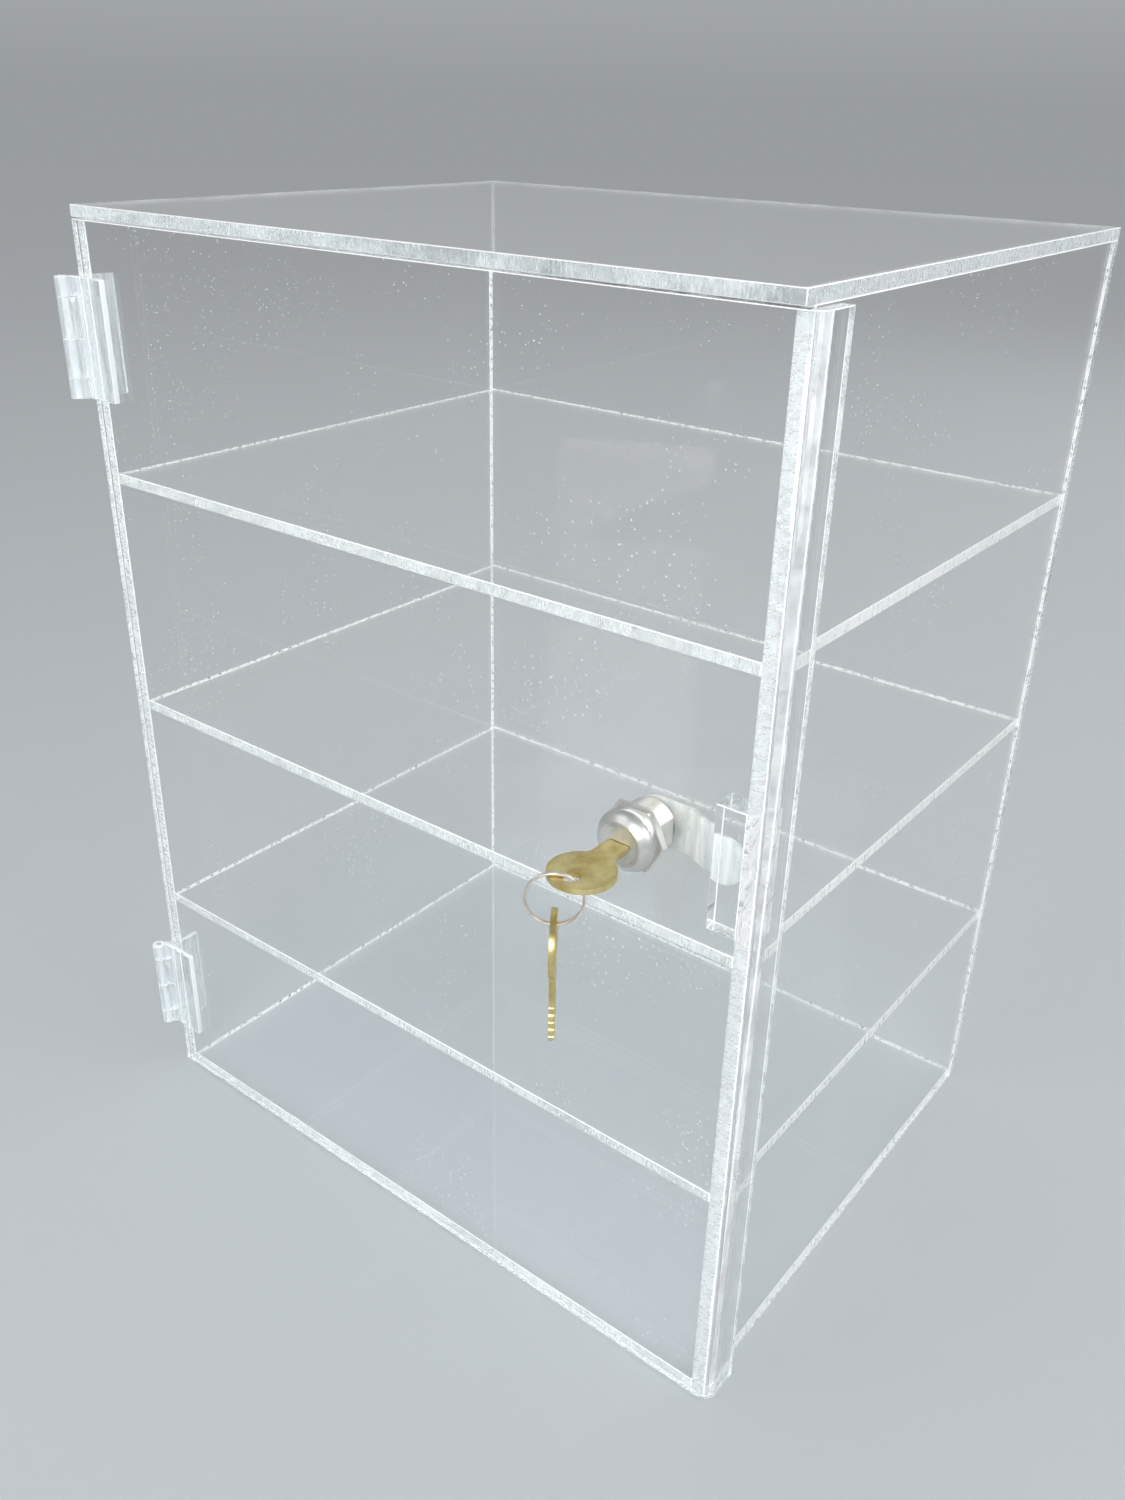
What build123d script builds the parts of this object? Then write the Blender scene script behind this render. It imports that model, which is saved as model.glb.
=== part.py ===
from build123d import *
import math
import os

# A clear acrylic display case with three shelves, a hinged door and a cam lock.
# Millimetres, +Z up. The origin is the centre of the case's underside, the door faces -Y,
# and the hinges are at -X.

# Case
case_width = 311.0
case_depth = 243.0
case_height = 406.4
sheet = 4.5
edge_break = 0.35
shelf_names = ["lower_shelf", "middle_shelf", "upper_shelf"]
shelf_pitch = 101.6

# Door
door_gap = 0.5
door_top_gap = 0.6
door_foot_gap = 0.6
lip_width = 12.7
bend_radius = 1.2

# Strike block behind which the cam locks
strike_width = 11.1
strike_depth = 9.5
strike_height = 46.0
strike_setback = 0.3

# Hinges
hinge_length = 46.0
hinge_end_distance = 25.4
barrel_radius = 3.0
pin_stand_off = 4.4
leaf_thickness = 2.4
leaf_reach = 21.0
leaf_round = 0.6
hinge_pin_radius = 1.25
hinge_pin_clearance = 0.05
hinge_pin_overhang = 0.3
knuckle_gap = 0.2
knuckle_relief = 0.35

# Lock housing
lock_inset = 41.0
lock_above_shelf = 29.0
head_depth = 4.0
head_radius = 11.0
head_face_radius = 8.0
head_rim = 0.8
body_radius = 9.5
body_flats = 16.0
body_fit = 0.1
body_end_chamfer = 0.5
thread_start = 2.2
thread_pitch = 1.27
thread_land = 0.35
thread_depth = 0.45
nut_across_flats = 22.0
nut_thickness = 3.0
nut_fit = 0.05
nut_corner_cut = 0.4
nut_back_cut = 0.9

# Lock plug and its wafers
plug_radius = 6.2
plug_clearance = 0.05
flange_radius = 6.9
flange_depth = 1.0
wafer_count = 5
wafer_pitch = 2.9
wafer_first = -1.0
wafer_thickness = 0.9
wafer_height = 6.2
wafer_length = 10.4
wafer_play = 0.1
wafer_lift = 0.9
groove_play = 0.15
clip_thickness = 0.7
clip_outer_radius = 8.0
clip_groove_radius = 5.0
clip_opening = 70.0
clip_gap = 0.1
post_width = 7.0
post_root = 1.0
post_fit = 0.08
plug_shoulder = 1.3

# Cam and its screw
cam_width = 17.4
cam_thickness = 1.8
cam_offset = 3.9
cam_clearance = 0.5
cam_side_gap = 2.1
cam_bend_start = 13.7
cam_bend_length = 7.6
screw_radius = 1.95
screw_fit = 0.05
screw_head_radius = 4.0
screw_head_height = 2.2
screw_top_radius = 3.0
screw_crown = 0.7
screw_length = 4.6
recess_width = 1.0
recess_reach = 2.4
recess_depth = 1.3
washer_radius = 5.5
washer_thickness = 0.8

# Keys
key_thickness = 2.0
bow_radius = 11.25
bow_offset = 0.8
key_hole_radius = 3.0
key_hole_from_end = 6.0
neck_length = 9.2
neck_width = 8.3
neck_round = 2.0
blade_length = 18.3
blade_width = 6.6
blade_tip_width = 2.4
blade_tip_length = 3.0
cut_depth = 0.55
shallow_cut_depth = 0.3
cut_width = 1.5
rib_width = 1.4
rib_depth = 0.45
rib_start = 0.8
rib_spacing = 2.4
shoulder_gap = 0.3
keyway_side_play = 0.1
keyway_play = 0.15
keyway_end_play = 1.0
key_pull_clear = 4.0

# Key ring
ring_outer_radius = 9.75
ring_wire_radius = 0.4
ring_turn_spacing = 0.72
ring_heading = 35.0
ring_clearance = 0.35
spare_key_clearance = 0.6

# Places worked out from the sizes above
x_right = case_width / 2
x_left = -x_right
y_back = case_depth / 2
y_front = -y_back
y_case_front = y_front + sheet + door_gap
inner_width = case_width - 2 * sheet
shelf_tops = {name: n * shelf_pitch for n, name in enumerate(shelf_names, start=1)}
lock_x = x_right - sheet - lock_inset
lock_z = shelf_tops["middle_shelf"] + lock_above_shelf
strike_back = sheet + door_gap + strike_setback + strike_depth
cam_seat = strike_back + cam_clearance + cam_offset
cam_length = lock_inset - cam_side_gap
clip_front = cam_seat - plug_shoulder - clip_thickness
housing_back = clip_front - clip_gap
shoulder_y = -head_depth - shoulder_gap
blade_tip_y = shoulder_y + blade_length
keyway_end = blade_tip_y + keyway_end_play
key_travel = blade_length + key_pull_clear


def block(x0, x1, y0, y1, z0, z1):
    """A plain box between two corners."""
    return Pos((x0 + x1) / 2, (y0 + y1) / 2, (z0 + z1) / 2) * Box(x1 - x0, y1 - y0, z1 - z0)


def sheet_piece(x0, x1, y0, y1, z0, z1):
    """A sheet with its edges broken."""
    body = block(x0, x1, y0, y1, z0, z1)
    return chamfer(body.edges(), edge_break)


def turned(points):
    """A solid of revolution about the lock's axis, from (radius, depth) points."""
    return revolve(make_face(Polyline(*points, close=True)), axis=Axis.Y)


def rod(radius, y0, y1):
    """A cylinder along the lock's axis."""
    return Pos(0, (y0 + y1) / 2, 0) * Rot(90, 0, 0) * Cylinder(radius, y1 - y0)


def in_lock(shape):
    """Moves a lock piece from the lock's own axis and the door's front face to its place."""
    return Pos(lock_x, y_front, lock_z) * shape


# Case panels
def make_top_panel():
    return sheet_piece(x_left, x_right, y_front, y_back, case_height - sheet, case_height)


def make_back_panel():
    return sheet_piece(x_left, x_right, y_back - sheet, y_back, 0, case_height - sheet)


def make_side_panel(x0):
    return sheet_piece(x0, x0 + sheet, y_case_front, y_back - sheet, 0, case_height - sheet)


def make_shelf(top):
    return sheet_piece(
        x_left + sheet, x_right - sheet, y_case_front, y_back - sheet, top - sheet, top
    )


def make_strike_block():
    x1 = x_right - sheet
    y0 = y_case_front + strike_setback
    half = strike_height / 2
    return sheet_piece(x1 - strike_width, x1, y0, y0 + strike_depth, lock_z - half, lock_z + half)


# Door
door_end = x_right + door_gap + sheet
door_top = case_height - sheet - door_top_gap


def lock_hole():
    """The double-D hole that keeps the housing from turning."""
    across = body_flats + 2 * body_fit
    hole = rod(body_radius + body_fit, -sheet, 2 * sheet)
    tall = 4 * body_radius
    return hole & block(-across / 2, across / 2, -tall, tall, -tall, tall)


def make_door_panel():
    """One sheet, bent while hot at its right edge into a lip that wraps the right panel."""
    door_back = y_front + sheet
    lip_end = door_back + lip_width
    outline = Polyline(
        (x_left, y_front),
        (door_end, y_front),
        (door_end, lip_end),
        (door_end - sheet, lip_end),
        (door_end - sheet, door_back),
        (x_left, door_back),
        close=True,
    )
    plan = make_face(outline)
    outer_corner = plan.vertices().group_by(Axis.Y)[0].sort_by(Axis.X)[-1]
    plan = fillet(outer_corner, bend_radius + sheet)
    inner_corner = plan.vertices().filter_by_position(Axis.Y, door_back, door_back).sort_by(Axis.X)[-1]
    plan = fillet(inner_corner, bend_radius)
    door = extrude(Pos(0, 0, door_foot_gap) * plan, door_top - door_foot_gap)
    ends = door.faces().sort_by(Axis.Z)
    uprights = door.edges().filter_by(Axis.Z)
    sharp = ends[0].edges() + ends[-1].edges() + uprights.sort_by(Axis.X)[:2] + uprights.sort_by(Axis.Y)[-2:]
    return chamfer(sharp, edge_break) - in_lock(lock_hole())


# Hinges
pin_x = x_left - pin_stand_off
pin_y = y_front - pin_stand_off
knuckle_steps = [0, 1 / 6, 1 / 2, 5 / 6, 1]
hinge_centres = {
    "upper": case_height - hinge_end_distance - hinge_length / 2,
    "lower": hinge_end_distance + hinge_length / 2,
}


def knuckle_spans(first):
    """The knuckles of one leaf, as heights from the hinge's foot: every second one."""
    spans = []
    for n in range(first, 4, 2):
        low = knuckle_steps[n] * hinge_length + (knuckle_gap / 2 if n else 0)
        high = knuckle_steps[n + 1] * hinge_length - (knuckle_gap / 2 if n < 3 else 0)
        spans.append((low, high))
    return spans


def make_leaf(first):
    """A leaf flat on the face behind it, with the pin's axis at the origin along Z."""
    back = pin_stand_off
    plate_start = pin_stand_off + knuckle_relief
    web_end = plate_start + leaf_round
    web = [
        (0, 0),
        (0, barrel_radius),
        (back - barrel_radius, back),
        (web_end, back),
        (web_end, back - leaf_thickness),
        (barrel_radius, back - leaf_thickness),
    ]
    plate = block(plate_start, leaf_reach, back - leaf_thickness, back, 0, hinge_length)
    outer = plate.edges().filter_by(Axis.Z).sort_by(Axis.X)[-2:]
    leaf = fillet(outer.sort_by(Axis.Y)[0], leaf_round)
    for low, high in knuckle_spans(first):
        barrel = Pos(0, 0, (low + high) / 2) * Cylinder(barrel_radius, high - low)
        arm = extrude(Pos(0, 0, low) * make_face(Polyline(*web, close=True)), high - low)
        leaf = leaf + barrel + arm
    bore = Cylinder(hinge_pin_radius + hinge_pin_clearance, 3 * hinge_length)
    return leaf - bore


def hinge_place(name):
    return Pos(pin_x, pin_y, hinge_centres[name] - hinge_length / 2)


def make_door_leaf(name):
    return hinge_place(name) * make_leaf(1)


def make_case_leaf(name):
    """The same leaf turned over, so that it lies on the left panel's outer face."""
    turned_over = mirror(make_leaf(0), about=Plane.XZ)
    return hinge_place(name) * Rot(0, 0, 90) * turned_over


def make_hinge_pin(name):
    length = hinge_length + 2 * hinge_pin_overhang
    pin = Cylinder(hinge_pin_radius, length)
    pin = chamfer(pin.edges(), hinge_pin_overhang / 2)
    return hinge_place(name) * Pos(0, 0, hinge_length / 2) * pin


# Lock housing and nut
def thread_profile(y0, y1):
    """Outline points of the threaded stretch, from its near end to its far end."""
    points = []
    turns = int((y1 - y0) / thread_pitch)
    for n in range(turns):
        y = y0 + n * thread_pitch
        points.append((body_radius, y))
        points.append((body_radius, y + thread_land))
        points.append((body_radius - thread_depth, y + (thread_pitch + thread_land) / 2))
    points.append((body_radius, y0 + turns * thread_pitch))
    return points


def wafer_grooves():
    """Room for the wafers at both places where the key comes out."""
    low = wafer_first - wafer_thickness / 2 - groove_play
    high = wafer_first + (wafer_count - 1) * wafer_pitch + wafer_thickness / 2 + groove_play
    reach = wafer_length / 2 + wafer_lift + groove_play
    half = wafer_height / 2 + groove_play
    side = block(0, reach, low, high, -half, half)
    upper = block(-half, half, low, high, 0, reach)
    return side + upper


def make_lock_housing():
    face = -head_depth
    cone_edge = -head_rim
    outline = [(0, face), (head_face_radius, face), (head_radius, cone_edge), (head_radius, 0)]
    outline += [(body_radius, 0)]
    outline += thread_profile(thread_start, housing_back - body_end_chamfer)
    outline += [(body_radius - body_end_chamfer, housing_back), (0, housing_back)]
    housing = turned(outline)
    tall = 4 * body_radius
    for side in (-1, 1):
        x0 = side * body_flats / 2
        x1 = side * tall
        housing = housing - block(min(x0, x1), max(x0, x1), 0, tall, -tall, tall)
    bore = plug_radius + plug_clearance
    housing = housing - rod(bore, -2 * head_depth, 2 * housing_back)
    housing = housing - rod(flange_radius + plug_clearance, -2 * head_depth, face + flange_depth)
    return in_lock(housing - wafer_grooves())


def make_lock_nut():
    corner = nut_across_flats / 2 / math.cos(math.pi / 6)
    hexagon = extrude(RegularPolygon(corner, 6), nut_thickness)
    nut = Rot(-90, 0, 0) * hexagon
    nut = Pos(0, sheet, 0) * nut
    back = sheet + nut_thickness
    crown = [
        (0, sheet),
        (corner - nut_corner_cut, sheet),
        (corner, sheet + nut_corner_cut),
        (corner, back - nut_back_cut),
        (nut_across_flats / 2, back),
        (0, back),
    ]
    nut = nut & turned(crown)
    return in_lock(nut - rod(body_radius + nut_fit, 0, 2 * sheet + nut_thickness))


# Plug, wafers and retaining clip
def wafer_places():
    return [wafer_first + n * wafer_pitch for n in range(wafer_count)]


def make_lock_plug():
    face = -head_depth
    outline = [
        (0, face),
        (flange_radius, face),
        (flange_radius, face + flange_depth - plug_clearance),
        (plug_radius, face + flange_depth - plug_clearance),
        (plug_radius, clip_front),
        (clip_groove_radius, clip_front),
        (clip_groove_radius, clip_front + clip_thickness),
        (plug_radius, clip_front + clip_thickness),
        (plug_radius, cam_seat),
        (0, cam_seat),
    ]
    plug = turned(outline)
    half_post = post_width / 2
    post_end = cam_seat + cam_thickness - post_fit
    post_start = cam_seat - post_root
    plug = plug + block(-half_post, half_post, post_start, post_end, -half_post, half_post)
    slot = blade_width / 2 + keyway_side_play
    height = key_thickness / 2 + keyway_play
    plug = plug - block(-slot, slot, 2 * face, keyway_end, -height, height)
    half = wafer_thickness / 2 + wafer_play
    tall = wafer_height / 2 + wafer_play
    wide = 2 * plug_radius
    for y in wafer_places():
        plug = plug - block(-wide, wide, y - half, y + half, -tall, tall)
    screw_end = cam_seat + cam_thickness + washer_thickness - screw_length
    hole = rod(screw_radius + screw_fit, screw_end - screw_fit, 2 * cam_seat)
    return in_lock(plug - hole)


def make_lock_wafers():
    """Brass wafers, lined up inside the plug because the key is in."""
    blade_side = blade_width / 2 + keyway_side_play
    height = key_thickness / 2 + keyway_play
    wafers = []
    for y in wafer_places():
        low = y - wafer_thickness / 2
        high = y + wafer_thickness / 2
        half = wafer_length / 2
        plate = block(-half, half, low, high, -wafer_height / 2, wafer_height / 2)
        plate = plate - block(-blade_side - wafer_lift, blade_side, low, high, -height, height)
        wafers.append(in_lock(plate))
    return wafers


def make_plug_retainer():
    """A clip in the plug's groove, just behind the housing."""
    low = clip_front
    high = clip_front + clip_thickness
    clip = rod(clip_outer_radius, low, high) - rod(clip_groove_radius, low, high)
    half = math.tan(math.radians(clip_opening / 2)) * clip_outer_radius
    wedge = Polyline((0, 0), (half, -clip_outer_radius), (-half, -clip_outer_radius), close=True)
    mouth = extrude(Plane.XZ * make_face(wedge), clip_outer_radius + high, both=True)
    return in_lock(clip - mouth)


# Cam, washer and screw
def make_lock_cam():
    """A flat cam with an offset, so that its tip runs close behind the strike block."""
    seat = cam_seat
    tip_y = seat - cam_offset
    bend_end = cam_bend_start + cam_bend_length
    bend_angle = math.atan2(cam_offset, cam_bend_length)
    bend_shift = cam_thickness * math.tan(bend_angle / 2)
    hub = -cam_width / 2
    side = Polyline(
        (hub, seat),
        (cam_bend_start, seat),
        (bend_end, tip_y),
        (cam_length, tip_y),
        (cam_length, tip_y + cam_thickness),
        (bend_end + bend_shift, tip_y + cam_thickness),
        (cam_bend_start + bend_shift, seat + cam_thickness),
        (hub, seat + cam_thickness),
        close=True,
    )
    strip = extrude(make_face(side), cam_width / 2, both=True)
    outline = SlotCenterToCenter(cam_length - cam_width / 2, cam_width)
    outline = Pos((cam_length - cam_width / 2) / 2, 0) * outline
    cam = strip & extrude(Plane.XZ * outline, 3 * seat, both=True)
    half = post_width / 2 + post_fit
    hole = block(-half, half, 0, seat + 2 * cam_thickness, -half, half)
    return in_lock(cam - hole)


def make_cam_washer():
    low = cam_seat + cam_thickness
    ring = rod(washer_radius, low, low + washer_thickness)
    return in_lock(ring - rod(screw_radius + 2 * screw_fit, 0, 2 * low))


def make_cam_screw():
    under_head = cam_seat + cam_thickness + washer_thickness
    top = under_head + screw_head_height
    shank_end = under_head - screw_length
    outline = [
        (0, shank_end),
        (screw_radius, shank_end),
        (screw_radius, under_head),
        (screw_head_radius, under_head),
        (screw_head_radius, top - screw_crown),
        (screw_top_radius, top),
        (0, top),
    ]
    half = recess_width / 2
    reach = recess_reach
    low = top - recess_depth
    high = top + recess_depth
    cross = block(-reach, reach, low, high, -half, half) + block(-half, half, low, high, -reach, reach)
    return in_lock(turned(outline) - cross)


# Keys
bow_y = -(neck_length + bow_radius)
hole_y = bow_y - bow_radius + key_hole_from_end


def neck_corners(flat):
    """The two inner corners where the neck runs into the round bow."""
    by_height = flat.vertices().filter_by_position(Axis.Y, bow_y, bow_y + bow_radius)
    return by_height.sort_by(Axis.Y)[-2:]


def make_key():
    """A key flat in the XY plane, its shoulder at the origin and its blade along +Y."""
    half = blade_width / 2
    tip = blade_tip_width / 2
    outline = Polyline(
        (-half, 0),
        (half, 0),
        (half, blade_length - blade_tip_length),
        (tip, blade_length),
        (-tip, blade_length),
        (-half, blade_length - blade_tip_length),
        close=True,
    )
    blade = make_face(outline)
    neck = Pos(0, bow_y / 2) * Rectangle(neck_width, -bow_y)
    bow = Pos(bow_offset, bow_y) * Circle(bow_radius)
    flat = blade + neck + bow
    flat = fillet(neck_corners(flat), neck_round)
    flat = flat - Pos(bow_offset, hole_y) * Circle(key_hole_radius)
    key = extrude(flat, key_thickness / 2, both=True)
    for n, y in enumerate(wafer_places()):
        place = y - shoulder_y
        deep = cut_depth if n % 2 else shallow_cut_depth
        for side in (-1, 1):
            notch = Rot(0, 0, 45) * Box(cut_width, cut_width, 2 * key_thickness)
            reach = cut_width / math.sqrt(2)
            key = key - Pos(side * (half - deep + reach), place, 0) * notch
    for side in (-1, 1):
        groove = block(-rib_width / 2, rib_width / 2, rib_start, 2 * blade_length, -rib_depth, rib_depth)
        key = key - Pos(side * rib_spacing / 2, 0, side * key_thickness / 2) * groove
    return key


def make_inserted_key():
    return in_lock(Pos(0, shoulder_y, 0) * make_key())


# The ring lies in an upright plane through the bow's hole and out past the bow's edge
heading = math.radians(ring_heading)
ring_across = Vector(math.cos(heading), math.sin(heading), 0)
ring_normal = Vector(-math.sin(heading), math.cos(heading), 0)
ring_inner_radius = ring_outer_radius - 2 * ring_wire_radius
ring_mean_radius = ring_outer_radius - ring_wire_radius
hole_to_bow = bow_radius - key_hole_from_end
along = hole_to_bow * math.sin(heading)
bow_edge = -along + math.sqrt(along**2 + bow_radius**2 - hole_to_bow**2)
strip_half = (bow_edge - key_hole_radius) / 2
strip_middle = (bow_edge + key_hole_radius) / 2
half_key = key_thickness / 2
ring_drop = math.sqrt((ring_inner_radius - ring_clearance) ** 2 - strip_half**2) - half_key
bow_hole = Vector(lock_x + bow_offset, y_front + shoulder_y + hole_y, lock_z)
ring_pivot = bow_hole - ring_across * strip_middle
ring_centre = ring_pivot - Vector(0, 0, ring_drop)
spare_pivot = ring_centre - Vector(0, 0, ring_mean_radius)
spare_hole = spare_pivot - Vector(0, 0, key_hole_radius - ring_wire_radius - spare_key_clearance)


def make_key_ring():
    """A split ring: two turns of wire side by side."""
    turns = []
    for side in (-1, 1):
        turns.append(Pos(ring_mean_radius, side * ring_turn_spacing / 2) * Circle(ring_wire_radius))
    section = Plane.XZ * (turns[0] + turns[1])
    ring = revolve(section, axis=Axis.Z)
    frame = Plane(origin=ring_centre, x_dir=ring_across, z_dir=ring_normal)
    return frame.location * ring


def make_spare_key():
    """The second key, hanging on the ring by its bow's hole with its blade down."""
    key = Pos(-bow_offset, -hole_y, 0) * make_key()
    frame = Plane(origin=spare_hole, x_dir=-1 * ring_normal, z_dir=ring_across)
    return frame.location * key


nodes = {
    "top_panel": make_top_panel(),
    "bottom_panel": make_shelf(sheet),
    "back_panel": make_back_panel(),
    "left_panel": make_side_panel(x_left),
    "right_panel": make_side_panel(x_right - sheet),
    "strike_block": make_strike_block(),
    "door_panel": make_door_panel(),
    "lock_housing": make_lock_housing(),
    "lock_nut": make_lock_nut(),
    "lock_plug": make_lock_plug(),
    "lock_wafers": make_lock_wafers(),
    "plug_retainer": make_plug_retainer(),
    "lock_cam": make_lock_cam(),
    "cam_washer": make_cam_washer(),
    "cam_screw": make_cam_screw(),
    "key": make_inserted_key(),
    "key_ring": make_key_ring(),
    "spare_key": make_spare_key(),
}
for name, top in shelf_tops.items():
    nodes[name] = make_shelf(top)
for name in hinge_centres:
    nodes[f"{name}_hinge_door_leaf"] = make_door_leaf(name)
    nodes[f"{name}_hinge_case_leaf"] = make_case_leaf(name)
    nodes[f"{name}_hinge_pin"] = make_hinge_pin(name)

os.makedirs("parts", exist_ok=True)
for name, shape in nodes.items():
    solids = shape if isinstance(shape, list) else shape.solids()
    export_step(Compound(list(solids)), f"parts/{name}.step")

lock_depth = cam_seat + cam_thickness + washer_thickness + screw_head_height
print("hinge pin", [round(v, 3) for v in (pin_x, pin_y)])
print("lock axis", [round(v, 3) for v in (lock_x, y_front, lock_z)])
print("lock behind the door's face", round(lock_depth, 3))
print("key travel", round(key_travel, 3), "wafer lift", wafer_lift)
print("ring pivot", [round(v, 3) for v in ring_pivot])
print("ring across", [round(v, 6) for v in ring_across])
print("spare key pivot", [round(v, 3) for v in spare_pivot])
print("shelf tops", [round(v, 3) for v in shelf_tops.values()])
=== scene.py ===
import bpy
import math
from mathutils import Matrix, Vector


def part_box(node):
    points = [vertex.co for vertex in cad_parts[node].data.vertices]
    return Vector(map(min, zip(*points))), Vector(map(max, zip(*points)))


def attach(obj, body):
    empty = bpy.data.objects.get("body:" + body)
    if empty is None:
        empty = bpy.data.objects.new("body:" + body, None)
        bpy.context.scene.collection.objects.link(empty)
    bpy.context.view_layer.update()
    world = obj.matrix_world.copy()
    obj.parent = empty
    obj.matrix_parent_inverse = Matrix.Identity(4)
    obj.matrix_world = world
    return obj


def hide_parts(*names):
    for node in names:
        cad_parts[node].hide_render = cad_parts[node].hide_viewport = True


# Clear acrylic display case with three shelves, an overlay door and a cam lock, dressed around its CAD
# model. Metres, +Z up, door towards -Y, hinges at -X.

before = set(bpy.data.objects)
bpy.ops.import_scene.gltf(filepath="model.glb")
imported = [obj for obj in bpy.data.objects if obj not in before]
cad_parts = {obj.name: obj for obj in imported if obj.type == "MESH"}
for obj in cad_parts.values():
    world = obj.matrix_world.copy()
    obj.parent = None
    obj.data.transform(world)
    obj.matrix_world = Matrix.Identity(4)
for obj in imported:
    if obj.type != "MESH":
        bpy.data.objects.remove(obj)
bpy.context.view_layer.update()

mm = 0.001
# what lies nearer than a hair counts as touching
hair = 0.01 * mm
scene = bpy.context.scene


# Colours and nodes
def toLinear(hexColour):
    channels = [int(hexColour[i:i + 2], 16) / 255 for i in (1, 3, 5)]
    return [c / 12.92 if c <= 0.04045 else ((c + 0.055) / 1.055) ** 2.4 for c in channels] + [1.0]


def addNode(tree, kind, settings=None, inputs=None):
    node = tree.nodes.new("ShaderNode" + kind)
    for name, value in (settings or {}).items():
        setattr(node, name, value)
    for name, value in (inputs or {}).items():
        if isinstance(value, bpy.types.NodeSocket):
            tree.links.new(value, node.inputs[name])
        else:
            node.inputs[name].default_value = value
    return node


def newTree(name):
    material = bpy.data.materials.new(name)
    material.use_nodes = True
    material.node_tree.nodes.clear()
    return material, material.node_tree


def closeTree(tree, shader):
    addNode(tree, "OutputMaterial", inputs={"Surface": shader.outputs[0]})


def addRamp(tree, factor, stops):
    ramp = addNode(tree, "ValToRGB", inputs={"Fac": factor})
    elements = ramp.color_ramp.elements
    while len(elements) < len(stops):
        elements.new(0.5)
    for element, (position, colour) in zip(elements, stops):
        element.position = position
        element.color = colour if isinstance(colour, list) else [colour, colour, colour, 1.0]
    return ramp


def lampsThrough(tree, shader, tint):
    # lamps shine through the clear sheets instead of leaving a black shadow
    path = addNode(tree, "LightPath")
    clear = addNode(tree, "BsdfTransparent", inputs={"Color": toLinear(tint)})
    return addNode(tree, "MixShader", inputs={
        0: path.outputs["Is Shadow Ray"], 1: shader.outputs[0], 2: clear.outputs[0]})


# Acrylic
acrylic = {
    "ior": 1.491,
    "body": "#fefefe",
    "lampTint": "#f7f9f9",
    "edgeLampTint": "#c9d0cf",
    "haze": 70 * mm,
    "hazeRough": [(0.52, 0.0), (0.8, 0.03)],
    # real dust is under 0.2 mm: drawn about three times as coarse, or it wouldn't show
    "dustCell": 2.8 * mm,
    "dustSpeck": [(0.08, 1.0), (0.12, 0.0)],
    "drift": 42 * mm,
    "driftShare": [(0.49, 0.0), (0.7, 1.0)],
}
# on worked edges: ticks are drawn out across the thickness, and the two noises add up to a mean of a half
edgeMarks = {
    "stretch": 0.22,
    "roughShare": (0.35, 0.68),
    "tickWeight": 0.45,
    "sumScale": 0.69,
    "bump": 0.4,
}
# saw ticks run across the thickness, and chips are where the blade tore a bit out
edgeLooks = {
    "sawn": {
        "colour": "#e3e8eb", "clearest": 0.92, "cloudiest": 0.06, "roughLow": 0.15, "roughHigh": 0.5,
        "tick": 0.9 * mm, "chip": 2.0 * mm, "chipShare": (0.44, 0.56), "depth": 0.08 * mm},
    "milled": {
        "colour": "#f0f3f6", "clearest": 0.7, "cloudiest": 0.1, "roughLow": 0.15, "roughHigh": 0.4,
        "tick": 0.8 * mm, "chip": 9 * mm, "chipShare": (0.42, 0.56), "depth": 0.05 * mm},
    "planed": {
        "colour": "#e9eef0", "clearest": 0.99, "cloudiest": 0.4, "roughLow": 0.04, "roughHigh": 0.26,
        "tick": 0.6 * mm, "chip": 30 * mm, "chipShare": (0.46, 0.6), "depth": 0.02 * mm},
    "scraped": {
        "colour": "#eaf0f2", "clearest": 0.98, "cloudiest": 0.2, "roughLow": 0.08, "roughHigh": 0.32,
        "tick": 0.9 * mm, "chip": 26 * mm, "chipShare": (0.44, 0.57), "depth": 0.05 * mm},
    # glued: the end under its cement, opaque white where the chips fall, partly the cement's frosting and
    # partly a painted glow of light leaving the sheet through the joint
    "glued": {
        "colour": "#ffffff", "clearest": 0.92, "cloudiest": 0.0, "roughLow": 0.2, "roughHigh": 0.45,
        "tick": 2.4 * mm, "chip": 2.8 * mm, "chipShare": (0.42, 0.48), "depth": 0.06 * mm},
    # arris: the broken edge, near opaque white, partly the frosting left by breaking it and partly a painted
    # highlight line along each sheet's edge
    "arris": {
        "colour": "#ffffff", "clearest": 0.25, "cloudiest": 0.02, "roughLow": 0.3, "roughHigh": 0.5,
        "tick": 1.2 * mm, "chip": 4.0 * mm, "chipShare": (0.3, 0.5), "depth": 0.02 * mm},
}


def makeClearAcrylic():
    # cast acrylic sheet, polished by the casting glass: water clear, with faint wiping haze and dust
    material, tree = newTree("clearCastAcrylic")
    place = addNode(tree, "TexCoord").outputs["Object"]
    haze = addNode(tree, "TexNoise", inputs={
        "Vector": place, "Scale": 1 / acrylic["haze"], "Detail": 5.0, "Roughness": 0.6})
    roughness = addRamp(tree, haze.outputs["Fac"], acrylic["hazeRough"])
    specks = addNode(tree, "TexVoronoi", inputs={"Vector": place, "Scale": 1 / acrylic["dustCell"]})
    dots = addRamp(tree, specks.outputs["Distance"], acrylic["dustSpeck"])
    drifts = addNode(tree, "TexNoise", inputs={"Vector": place, "Scale": 1 / acrylic["drift"], "Detail": 6.0})
    where = addRamp(tree, drifts.outputs["Fac"], acrylic["driftShare"])
    dusty = addNode(tree, "Math", {"operation": "MULTIPLY"}, {
        0: dots.outputs["Color"], 1: where.outputs["Color"]})
    passing = addNode(tree, "Math", {"operation": "SUBTRACT"}, {0: 1.0, 1: dusty.outputs[0]})
    shader = addNode(tree, "BsdfPrincipled", inputs={
        "Base Color": toLinear(acrylic["body"]), "Roughness": roughness.outputs["Color"],
        "IOR": acrylic["ior"], "Transmission Weight": passing.outputs[0]})
    closeTree(tree, lampsThrough(tree, shader, acrylic["lampTint"]))
    return material


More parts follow.
